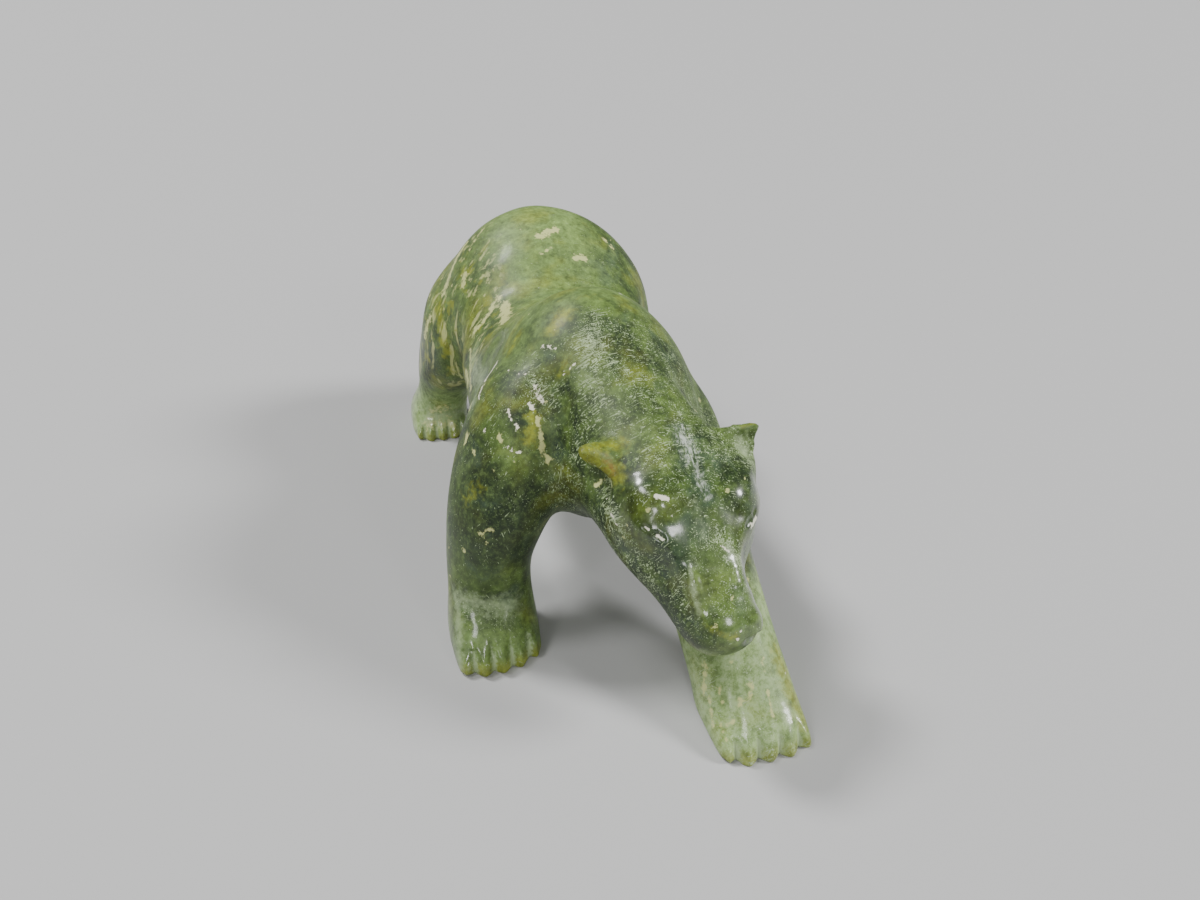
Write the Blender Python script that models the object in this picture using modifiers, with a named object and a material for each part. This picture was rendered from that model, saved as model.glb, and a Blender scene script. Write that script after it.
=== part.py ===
"""A walking polar bear carved from one block of green soapstone.

The carving is one solid. Its trunk, neck and head are one long skin, drawn the way a carver saws
a block: a back line and a belly line seen from the side, and a half width either side of a crest
line seen from above. Each leg is drawn the same way, down to its paw. Fusing the skins and
relaxing the surface gives the soft fillets of the stone. The ears and the tail are short horns
fused on after that, and the last cuts flatten the soles and file the notches between the toes.

Metres, +Z up. The bear walks towards -Y, and the origin is on the ground below the middle of its
bounding box. The tables are in millimetres.
"""

import math
from collections import namedtuple

import bmesh
import bpy
import numpy as np
from mathutils import Vector

NAME = "polar_bear"
COLLECTION = "soapstone_bear"
MM = 0.001

# One slice across a form. top and bottom are its outline points (y, z) seen from the side. right,
# ridge and left are its x at the widest point on either side and along its crest. belt is how far
# up from the bottom it is widest, and square how boxy its outline is, from 0, an ellipse.
Slice = namedtuple("Slice", "top bottom right ridge left belt square")

# From the tail, over the rump, the saddle, the hump and the neck, to the nose.
TRUNK = [
    Slice((107, 68), (107, 58), -11, -4, 3, 0.5, 0.0),
    Slice((102, 80), (103, 42), -29, -4, 20, 0.4, 0.0),
    Slice((88, 91.5), (88, 33), -39, -4, 30, 0.38, -0.05),
    Slice((64, 96.8), (62, 30), -43, -4.5, 36.5, 0.4, -0.05),
    Slice((46, 91), (42, 29), -40.5, -5, 33.5, 0.4, -0.05),
    Slice((28, 79.5), (22, 28), -39.5, -6, 30, 0.42, 0.0),
    Slice((8, 81.5), (2, 28), -40.5, -7, 28.5, 0.42, 0.0),
    Slice((-10, 91), (-18, 29), -40, -8, 27, 0.4, -0.1),
    Slice((-24, 95.3), (-36, 31.5), -38, -7.5, 24, 0.4, -0.1),
    Slice((-38, 91), (-48, 34.5), -32, -6, 20, 0.42, 0.0),
    Slice((-52, 83), (-55, 37.5), -25, -3, 18, 0.45, 0.0),
    Slice((-64, 77), (-60, 38), -21, 1, 19, 0.45, 0.0),
    Slice((-76, 71.5), (-67, 38), -18, 3, 23.5, 0.48, 0.1),
    Slice((-86, 65.5), (-75, 37.5), -16, 3.5, 23, 0.5, 0.2),
    Slice((-92, 60), (-81, 36), -13, 3.8, 19.5, 0.48, 0.2),
    Slice((-97, 54), (-86.5, 34), -8.8, 4, 14.3, 0.42, 0.25),
    Slice((-102, 48.5), (-92.5, 31.5), -6, 4, 14.6, 0.42, 0.25),
    Slice((-106.5, 43), (-98.5, 29.5), -4.2, 4, 15, 0.42, 0.2),
    Slice((-109, 39), (-103, 29), -1.5, 4.2, 13, 0.45, 0.1),
    Slice((-109.7, 36), (-106.5, 30.5), 1.5, 4.5, 8.5, 0.5, 0.0),
]

# The legs, from inside the trunk down to below the ground, where the flat soles cut them off.
FORE_RIGHT = [
    Slice((-42, 81), (-26, 83), -27, -18, -9, 0.5, 0.0),
    Slice((-48, 75), (-21, 77), -36.5, -24, -12, 0.5, 0.0),
    Slice((-54, 65), (-17, 66), -44, -30, -14, 0.5, 0.0),
    Slice((-58, 51), (-18, 50), -50, -34, -15, 0.5, 0.0),
    Slice((-59, 38), (-23, 37), -53, -40, -23.5, 0.5, 0.0),
    Slice((-57.5, 26), (-30, 26), -54.5, -42.5, -29.5, 0.5, 0.0),
    Slice((-57, 17), (-34, 15), -55, -43, -30.5, 0.5, 0.1),
    Slice((-61.5, 9.5), (-34, 7), -56, -43, -30, 0.5, 0.25),
    Slice((-66.5, 3), (-34, 2), -56, -43, -30, 0.5, 0.4),
    Slice((-67, -3), (-34, -3), -55.5, -43, -30.5, 0.5, 0.4),
]
FORE_LEFT = [
    Slice((-38, 76), (-10, 74), -7, 5, 17, 0.5, 0.0),
    Slice((-46, 64), (-14, 58), -4, 12, 27, 0.5, 0.0),
    Slice((-61, 52), (-28, 42), 1, 15, 29, 0.5, 0.0),
    Slice((-75, 40), (-43, 26), 2.5, 15.4, 28.4, 0.5, 0.0),
    Slice((-88, 28.5), (-58, 14), 3.2, 15.8, 28.4, 0.5, 0.1),
    Slice((-98, 19), (-72, 6), 3.8, 16.5, 29, 0.5, 0.15),
    Slice((-106.5, 10), (-80, 2), 4.2, 17, 30, 0.5, 0.3),
    Slice((-113.5, 3), (-84, 0), 4, 17, 30, 0.5, 0.45),
    Slice((-115, -3), (-85, -3), 4.5, 17, 29.5, 0.5, 0.45),
]
HIND_RIGHT = [
    Slice((60, 83), (90, 85), -24, -14, -4, 0.5, 0.0),
    Slice((50, 74), (98, 76), -36, -20, -6, 0.5, 0.0),
    Slice((43, 62), (102, 64), -46.5, -27, -8, 0.5, 0.0),
    Slice((44, 46), (104, 47), -51, -33, -16, 0.5, 0.0),
    Slice((58, 32), (106, 31), -53, -40, -26, 0.5, 0.0),
    Slice((76, 19), (108, 18), -53.5, -42.5, -31.5, 0.5, 0.0),
    Slice((81.5, 9), (112, 8), -57.5, -45.5, -33.5, 0.5, 0.2),
    Slice((77, 3), (113, 2), -58, -46, -34, 0.5, 0.4),
    Slice((76, -3), (112, -3), -57.5, -46, -34.5, 0.5, 0.4),
]

# The left hind leg is the right one on the other side of the rump, swung back from the hip.
RUMP_MIDDLE_X = -5
HIP_HEIGHT = 84
STRIDE_BACK = 20

# The toe tips of each paw: the first, the middle and the last (x, y), from the bear's right.
FORE_TOES = (((-53, -65.5), (-43, -67), (-32, -62.5)), ((5.5, -112.5), (16, -115), (27.5, -113.5)))
HIND_TOES = (((-56, 78), (-46, 76), (-36, 78)), ((26, 98), (36, 96), (46, 98)))
TOE_TIPS = (0, 0.25, 0.5, 0.75, 1)

# A notch between two toes: its edge leans back from below the sole to above the paw.
NOTCH_FOOT = 2.6
NOTCH_HEAD = 7.4
NOTCH_FRONT = 4
NOTCH_HALF_WIDTH = 2.7
NOTCH_BOTTOM = -2
NOTCH_TOP = 11

# The ears and the tail: root and tip (x, y, z), the longer axis across, and half sizes at each end.
Horn = namedtuple("Horn", "root tip wide root_size tip_size")
EAR_LIE = (0, -0.8, -0.6)
EAR_ROOT_SIZE = (8.5, 4.5)
EAR_TIP_SIZE = (1.8, 1.6)
HORNS = [
    Horn((-8, -69, 63), (-22, -71, 71.5), EAR_LIE, EAR_ROOT_SIZE, EAR_TIP_SIZE),
    Horn((14, -69, 63), (23.5, -71, 72), EAR_LIE, EAR_ROOT_SIZE, EAR_TIP_SIZE),
    Horn((-4, 95, 77), (-4, 109, 62), (1, 0, 0), (8.5, 6), (5, 3.5)),
]
HORN_STEPS = 6
HORN_RING = 16

RING = 40
STEPS_PER_SLICE = 6

BLOCK_VOXEL = 1.5
BLOCK_RELAX = 26
CARVING_VOXEL = 1.2
CARVING_RELAX = 5
KEPT_FACES = 0.07

GROUND_HALF_SIZE = (90, 150)
GROUND_DEPTH = 30

STONE_COLOR = (0.13, 0.19, 0.07, 1)
STONE_ROUGHNESS = 0.3


def swung_back(slices):
    """The slices mirrored across the rump, each moved back the more the lower it is."""
    made = []
    for s in slices:
        top, bottom = ((y + STRIDE_BACK * (1 - z / HIP_HEIGHT), z) for y, z in (s.top, s.bottom))
        right, ridge, left = (2 * RUMP_MIDDLE_X - x for x in (s.left, s.ridge, s.right))
        made.append(Slice(top, bottom, right, ridge, left, s.belt, s.square))
    return made


def smooth_rows(rows, steps):
    """The rows of numbers, with steps - 1 more between each pair, on a smooth curve."""
    rows = np.array(rows, float)
    gaps = np.linalg.norm(np.diff(rows[:, :4], axis=0), axis=1) ** 0.5
    slopes = np.gradient(rows, np.concatenate([[0.0], np.cumsum(gaps)]), axis=0)
    made = [rows[0]]
    for i, gap in enumerate(gaps):
        for t in np.linspace(0, 1, steps + 1)[1:]:
            made.append(
                (2 * t**3 - 3 * t**2 + 1) * rows[i]
                + (t**3 - 2 * t**2 + t) * gap * slopes[i]
                + (3 * t**2 - 2 * t**3) * rows[i + 1]
                + (t**3 - t**2) * gap * slopes[i + 1]
            )
    return made


def outline(row):
    """The ring of points of one slice, given as a row of its numbers."""
    top, bottom = row[0:2], row[2:4]
    right, ridge, left, belt, square = row[4:]
    waist = bottom + (top - bottom) * belt
    points = []
    for k in range(RING):
        cos, sin = math.cos(math.tau * k / RING), math.sin(math.tau * k / RING)
        x = ridge + ((left if cos > 0 else right) - ridge) * abs(cos) ** (1 - square)
        y, z = waist + ((top if sin > 0 else bottom) - waist) * abs(sin) ** (1 - square)
        points.append(Vector((x, y, z)) * MM)
    return points


def add_tube(bm, rings):
    """A closed skin over the rings of points."""
    rings = [[bm.verts.new(point) for point in ring] for ring in rings]
    for a, b in zip(rings, rings[1:]):
        for k in range(len(a)):
            n = (k + 1) % len(a)
            bm.faces.new((a[k], a[n], b[n], b[k]))
    bm.faces.new(rings[0][::-1])
    bm.faces.new(rings[-1])


def add_skin(bm, slices):
    rows = smooth_rows([(*s.top, *s.bottom, *s[2:]) for s in slices], STEPS_PER_SLICE)
    add_tube(bm, [outline(row) for row in rows])


def add_horn(bm, horn):
    root, tip, wide = (Vector(v) for v in (horn.root, horn.tip, horn.wide))
    along = (tip - root).normalized()
    side = (wide - along * along.dot(wide)).normalized()
    up = side.cross(along)
    rings = []
    for i in range(HORN_STEPS + 1):
        t = i / HORN_STEPS
        a, b = (r * (1 - t) + e * t for r, e in zip(horn.root_size, horn.tip_size))
        angles = [math.tau * k / HORN_RING for k in range(HORN_RING)]
        middle = root.lerp(tip, t)
        rings.append([(middle + side * a * math.cos(k) + up * b * math.sin(k)) * MM for k in angles])
    add_tube(bm, rings)


def add_notch(bm, x, y):
    """A wedge standing in front of a paw between two toes whose tips are at y."""
    foot = (x, y + NOTCH_FOOT, NOTCH_BOTTOM)
    head = (x, y + NOTCH_HEAD, NOTCH_TOP)
    front = [
        (x + side * NOTCH_HALF_WIDTH, y - NOTCH_FRONT, z)
        for z in (NOTCH_BOTTOM, NOTCH_TOP)
        for side in (-1, 1)
    ]
    a, b, c, d, e, f = (bm.verts.new(Vector(p) * MM) for p in (foot, head, *front))
    for face in ((a, c, d), (b, f, e), (a, b, e, c), (a, d, f, b), (c, e, f, d)):
        bm.faces.new(face)


def add_toe_notches(bm, first, middle, last):
    """A notch between each two toe tips, which lie on a curve through the three points."""
    tips = []
    for t in TOE_TIPS:
        shares = (1 - t) * (1 - 2 * t), 4 * t * (1 - t), t * (2 * t - 1)
        tips.append(sum((Vector(p) * k for p, k in zip((first, middle, last), shares)), Vector((0, 0))))
    for a, b in zip(tips, tips[1:]):
        add_notch(bm, *((a + b) / 2))


def add_ground(bm):
    """Everything below the soles."""
    made = bmesh.ops.create_cube(bm, size=1)["verts"]
    width, length = (2 * half for half in GROUND_HALF_SIZE)
    for vert in made:
        x, y, z = vert.co
        vert.co = Vector((x * width, y * length, (z - 0.5) * GROUND_DEPTH)) * MM


def object_from(bm, name, collection):
    bmesh.ops.recalc_face_normals(bm, faces=bm.faces)
    mesh = bpy.data.meshes.new(name)
    bm.to_mesh(mesh)
    bm.free()
    made = bpy.data.objects.new(name, mesh)
    collection.objects.link(made)
    return made


def add_modifier(obj, name, kind, **settings):
    modifier = obj.modifiers.new(name, kind)
    for setting, value in settings.items():
        setattr(modifier, setting, value)


def fuse_and_relax(obj, voxel, iterations):
    add_modifier(obj, "fuse", "REMESH", mode="VOXEL", voxel_size=voxel * MM)
    add_modifier(obj, "relax", "SMOOTH", factor=0.5, iterations=iterations)


def evaluated_mesh(obj):
    return bpy.data.meshes.new_from_object(obj.evaluated_get(bpy.context.evaluated_depsgraph_get()))


def roughed_out(collection):
    """The trunk and the legs fused into one relaxed mesh."""
    bm = bmesh.new()
    for slices in (TRUNK, FORE_RIGHT, FORE_LEFT, HIND_RIGHT, swung_back(HIND_RIGHT)):
        add_skin(bm, slices)
    block = object_from(bm, "block", collection)
    fuse_and_relax(block, BLOCK_VOXEL, BLOCK_RELAX)
    mesh = evaluated_mesh(block)
    bpy.data.objects.remove(block)
    return mesh


def make_cutter(collection):
    """The ground below the soles and the notches between the toes."""
    bm = bmesh.new()
    add_ground(bm)
    for toes in (*FORE_TOES, *HIND_TOES):
        add_toe_notches(bm, *toes)
    cutter = object_from(bm, "ground_and_notches", collection)
    cutter.hide_render = True
    cutter.display_type = "WIRE"
    return cutter


def soapstone():
    material = bpy.data.materials.new("green_soapstone")
    material.use_nodes = True
    shader = material.node_tree.nodes["Principled BSDF"]
    shader.inputs["Base Color"].default_value = STONE_COLOR
    shader.inputs["Roughness"].default_value = STONE_ROUGHNESS
    return material


def set_on_origin(obj, *others):
    """Moves the objects so that the first one's bounding box stands on the origin."""
    corners = np.array([tuple(v.co) for v in evaluated_mesh(obj).vertices])
    middle = (corners.min(axis=0) + corners.max(axis=0)) / 2
    for moved in (obj, *others):
        moved.location = (-middle[0], -middle[1], 0)


def main():
    for old in list(bpy.data.objects):
        bpy.data.objects.remove(old)
    carving = bpy.data.collections.new(COLLECTION)
    cutters = bpy.data.collections.new("cutters")
    for collection in (carving, cutters):
        bpy.context.scene.collection.children.link(collection)
    bm = bmesh.new()
    bm.from_mesh(roughed_out(carving))
    for horn in HORNS:
        add_horn(bm, horn)
    bear = object_from(bm, NAME, carving)
    bear.data.materials.append(soapstone())
    fuse_and_relax(bear, CARVING_VOXEL, CARVING_RELAX)
    add_modifier(bear, "thin", "DECIMATE", ratio=KEPT_FACES)
    cutter = make_cutter(cutters)
    add_modifier(
        bear, "soles and toes", "BOOLEAN",
        operation="DIFFERENCE", solver="EXACT", use_self=True, object=cutter,
    )
    set_on_origin(bear, cutter)


main()
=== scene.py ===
"""A walking polar bear carved from one block of green soapstone, on a plain studio floor.

The bear's solid gives the form. It is laid out again as a fine, even net, its facets are rubbed
away, and the carver's details are worked into it: the planes of the head and muzzle, the brows,
the eyes, the scooped ears, the folds at the shoulder and haunch, and the filed toes. Marks that
belong to one place in the stone, such as a cream spot or a white chip, are painted as attributes
of the net, and the material turns them into colour. Some marks are painted shade in hollows and
creases or painted highlights on edges, painted shade darkens the lower front and the neck, and
painted light partly brightens the reaching leg and the hind paws. Sizes in the tables are in
millimetres.
"""

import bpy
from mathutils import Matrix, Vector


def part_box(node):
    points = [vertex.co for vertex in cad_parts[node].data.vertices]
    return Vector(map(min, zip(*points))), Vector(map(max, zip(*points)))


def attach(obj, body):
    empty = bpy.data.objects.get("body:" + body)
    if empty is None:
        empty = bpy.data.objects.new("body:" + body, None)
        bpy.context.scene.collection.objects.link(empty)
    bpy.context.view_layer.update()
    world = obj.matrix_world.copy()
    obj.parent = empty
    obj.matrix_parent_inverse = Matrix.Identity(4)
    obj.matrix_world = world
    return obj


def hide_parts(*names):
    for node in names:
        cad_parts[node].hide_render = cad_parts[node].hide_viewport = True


bl_info = {
    "name": "Soapstone bear carving",
    "version": (1, 0, 0),
    "blender": (4, 5, 0),
    "location": "3D View > Sidebar > Soapstone",
    "description": "Carves and polishes a green soapstone polar bear and sets it on a studio floor",
    "category": "Object",
}

import math
from collections import namedtuple

import bmesh
import bpy
import numpy as np
from bpy.props import FloatProperty, FloatVectorProperty, IntProperty, PointerProperty
from mathutils import Vector, noise

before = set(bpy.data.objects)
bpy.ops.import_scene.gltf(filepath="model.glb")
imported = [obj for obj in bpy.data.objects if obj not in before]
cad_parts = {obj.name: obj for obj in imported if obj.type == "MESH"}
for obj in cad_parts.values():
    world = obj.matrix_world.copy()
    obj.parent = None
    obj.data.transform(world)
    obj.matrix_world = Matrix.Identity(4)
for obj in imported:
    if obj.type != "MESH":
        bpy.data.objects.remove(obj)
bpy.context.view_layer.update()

NODE = "polar_bear"
BODY = "root"
MM = 0.001
MIDDLE_X = 9  # the head's own middle plane

# ---------------------------------------------------------------- tables

# Ovals, as (middle, half size), where the net is split finer: first the head and the paws, then
# the places that hold the finest cuts.
FINER = [
    ((5, -93, 53), (28, 34, 34)),
    ((-38, -68, 4), (22, 22, 17)),
    ((22, -114, 4), (22, 22, 17)),
    ((-41, 76, 4), (22, 20, 16)),
    ((41, 96, 4), (22, 20, 16)),
]
FINEST = [
    ((-12, -81, 67), (12, 9, 9)),
    ((25, -82, 67), (8, 9, 9)),
    ((-3, -99, 57), (6, 6, 6)),
    ((21, -99, 57), (6, 6, 6)),
    ((-38, -72, 2), (17, 10, 11)),
    ((22, -120, 2), (17, 10, 11)),
    ((-41, 70, 2), (17, 9, 10)),
    ((41, 90, 2), (17, 9, 10)),
    ((16, -114, 36), (6, 7, 6)),
    ((2, -114, 36), (6, 7, 6)),
    ((3.4, -109, 48), (4, 8, 9)),
    ((14.6, -109, 48), (4, 8, 9)),
]

# A stroke follows a path over the surface. width is how far to each side it reaches and depth how
# far in it goes, or out where it is negative. rim is 1 for a crisp rim and 2 for a soft one.
Stroke = namedtuple("Stroke", "path width depth rim")
BODY_STROKES = [
    # the hollow behind each shoulder blade
    Stroke(((-20, -15, 90), (-30, -17, 83), (-40, -18, 66), (-42, -14, 48)), 14, 2.2, 2),
    Stroke(((12, -14, 88), (22, -15, 80), (30, -15, 62)), 14, 1.8, 2),
    # the fold between the flank and the thigh
    Stroke(((-33, 29, 70), (-38, 30, 56), (-39, 34, 40), (-36, 40, 32)), 10, 2.4, 2),
    Stroke(((27, 30, 70), (33, 32, 54), (34, 38, 38)), 10, 2.2, 2),
    # the valley between the neck and each shoulder
    Stroke(((-17, -50, 82), (-21, -58, 74), (-21, -62, 66), (-19, -66, 54)), 10, 1.7, 2),
    Stroke(((13, -54, 82), (18, -60, 74), (20, -64, 66), (21, -68, 56)), 10, 1.6, 2),
    # the crease above the right fore paw
    Stroke(((-50, -56, 19), (-42, -66, 18), (-31, -62, 19)), 6, 0.8, 2),
]
HEAD_STROKES = [
    # the furrow down the forehead and the step to the muzzle
    Stroke(((11.5, -68, 78), (10, -84, 71), (9, -92, 67), (9, -101, 60)), 7, 0.7, 2),
    Stroke(((4, -103.5, 56), (14, -103.5, 56)), 6, 0.5, 2),
    # the flat top of the muzzle
    Stroke(((9, -106, 54), (9, -111, 47), (9, -114, 42)), 5, 0.4, 2),
]
# Strokes on the bear's right of the head, each made again on its left.
FACE_STROKES = [
    # the rounded brow, above the eye and down towards the muzzle
    Stroke(((-8, -87, 67), (-5, -91, 65), (-1, -95.5, 63), (3, -100, 60.5)), 6.5, -1.0, 2),
    # the cheek's edge, from the ear past the eye to the muzzle
    Stroke(((-8.5, -91, 61), (-5.5, -97, 58.5), (-1, -101.5, 56.5), (3.3, -105, 54)), 4, -0.4, 2),
    # the flattened side of the face below that edge
    Stroke(((-12, -86, 57), (-10.5, -90, 53), (-7, -97, 51), (-3.6, -101.5, 50.5),
            (-0.7, -106, 47), (1.0, -111, 42.5)), 5.5, 1.1, 2),
]
EAR_PULLS = [
    # the right ear: its flap's lower edge, and its root over the skull
    ((-12.5, -82.5, 66.5), 6, (0, -0.2, 0.4)),
    ((-8, -80, 71), 9, (0, 0.2, 0.4)),
    # the left ear: its tip, its outer edge and its root
    ((28.2, -81, 72.5), 4, (2.3, 0, 1.4)),
    ((26.5, -82, 69.5), 4, (0.9, 0, 0.2)),
    ((24.5, -83.5, 65), 8, (2.8, -0.2, 0)),
]
# The left corner of the nose stands out a little over the nick below it.
NOSE_PULLS = [((18, -113.8, 38.2), 5.5, (1.2, -0.4, -0.2))]
# Where the roots of the pulled ears are rubbed smooth once more.
EAR_ROOTS = [((-4.5, -84, 68.5), (8, 8, 8)), ((20, -86, 66), (6, 6, 6))]
EAR_STROKES = [
    # the hollow below the right ear's flap
    Stroke(((-15, -76, 63), (-12.5, -81.5, 62.8), (-10.5, -87, 60)), 4.4, 1.8, 1.5),
    # the shallow dish in the face of the left one
    Stroke(((22, -79.5, 71.5), (25, -82, 69), (24.5, -85.5, 64)), 4.2, 0.9, 2),
]
RIDGE_STROKES = [
    # the muzzle's crisp upper edge and the side right below it, on the bear's right
    Stroke(((0.4, -106, 49.5), (0.8, -109.5, 46), (1.2, -113, 41), (2, -115, 38)), 3.6, 0.5, 2),
    Stroke(((2.9, -105, 53), (3.2, -108.4, 49.7), (3.3, -111.8, 45.1), (4.4, -116, 39)), 2.4, -0.8, 1.6),
    # its blunter twin on the left
    Stroke(((14.6, -105, 53), (14.6, -108.4, 49.7), (14.4, -111.8, 45.1)), 3.6, -0.5, 2),
]
FINE_STROKES = [
    # the eye: two shallow nicks under the brow
    Stroke(((-5.7, -96.6, 59), (-3.7, -98.9, 57.8)), 0.9, 0.3, 2),
    Stroke(((-3.7, -98.6, 57.9), (-0.6, -101.6, 56.3)), 1.2, 0.4, 2),
    # the mouth line
    Stroke(((4.6, -116.5, 32.5), (0.8, -113, 31.5), (-1.2, -108, 32), (-2.6, -102, 34)), 0.9, 0.5, 1),
]
# The nick at the left corner of the nose.
NOSE_STROKES = [
    Stroke(((13.2, -118, 36), (16, -116, 35.8), (18.6, -112.5, 35.4)), 1.6, 1.0, 1),
]

# The toe tips of each paw: the first, the middle and the last (x, y), from the bear's right.
PAWS = [
    ((-48, -74.6), (-38, -76.1), (-27, -71.6)),
    ((10.5, -121.6), (21, -123.0), (33, -121.6)),
    ((-51, 68.9), (-41, 66.9), (-31, 68.9)),
    ((31, 88.9), (41, 86.9), (51, 88.9)),
]
TOES = 5
TOE_ROUNDNESS = 1.4  # 1 would file pointed toes, and more rounds them

# A paw's front is measured at places along the line of its tips, and then drawn out to that line.
FRONT_PLACES = 24
PLACE_WIDTH = 0.9  # how far to each side of a place its points lie
PAST_TIPS = 2  # how far the places go past the first and last tips
FRONT_REACH = 12  # how far from the line the front may lie
FRONT_HEIGHT = 6  # how high up it is measured
FURTHEST_DRAW = 4
DRAW_HEIGHTS = (12, 3)  # the heights between which the draw sets in,
DRAW_DEPTHS = (14, 1)  # the same for how far a point is behind the line,
DRAW_SIDES = (4, 1)  # and for how far it is past the first or last tip

# The file's cuts: a notch in the front between two toes, and a groove back from it.
NOTCH_DEPTH = 2.4
NOTCH_REACH = 4.5
GROOVE_DEPTH = 0.8
GROOVE_REACH = 7
GROOVE_START = (-1, 2)  # how far behind the tips it begins, and where it is deepest
GROOVE_WIDTH = (0.4, 1)  # the nearness to the gap at its edge and in its middle
GROOVE_LIFT = (0.5, 3)  # the heights between which it sets in, so that the sole stays flat
GROOVE_HEIGHT = 16
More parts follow.
